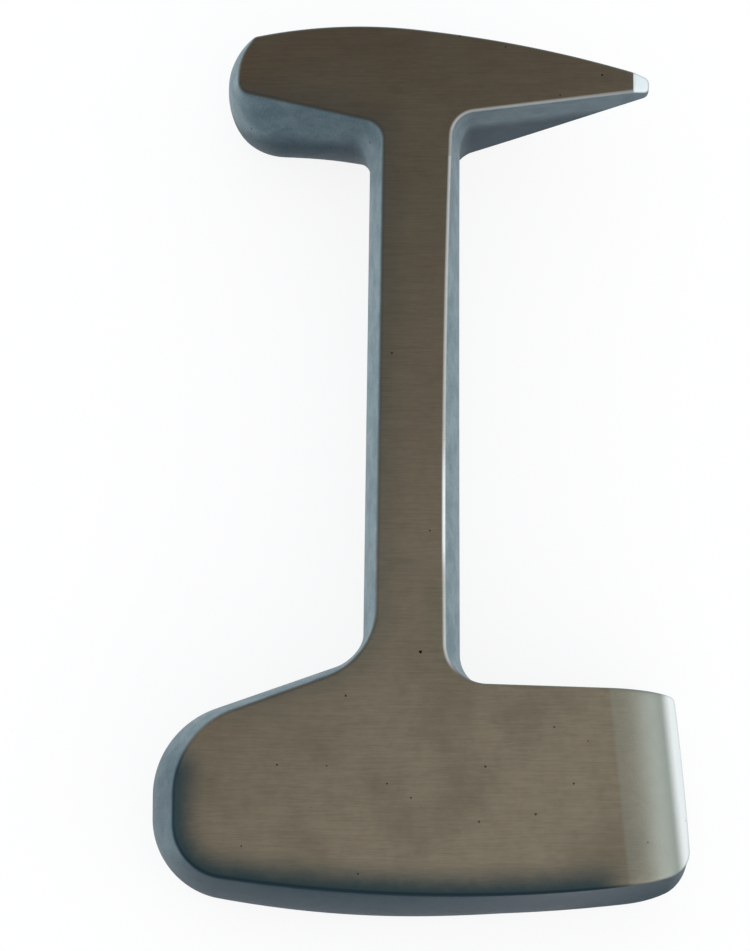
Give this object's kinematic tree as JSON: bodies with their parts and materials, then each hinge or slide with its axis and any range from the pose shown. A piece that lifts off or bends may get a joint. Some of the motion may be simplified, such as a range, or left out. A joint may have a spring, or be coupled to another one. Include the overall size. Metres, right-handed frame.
{
  "type": "hand anvil",
  "caption": "I-shaped one-piece steel hand anvil: a broad crowned head with a round heel and a bull-nosed toe, a slim shank, and a small crowned head drawn out to a pointed horn.",
  "frame": {"origin": "on the back ground face, under the middle of the box round the casting", "axes": "+Z out of the front ground face, +Y along the shank from the broad head to the small head, +X from the heels towards the toe and the horn's tip"},
  "size_m": [0.1134, 0.1917, 0.036],
  "materials": {
    "cast_steel": "belt-ground flat faces, bead-blasted barrelled walls"
  },
  "bodies": {
    "root": {"broad_head": "cast_steel", "shank": "cast_steel", "horn_head": "cast_steel"}
  },
  "joints": []
}
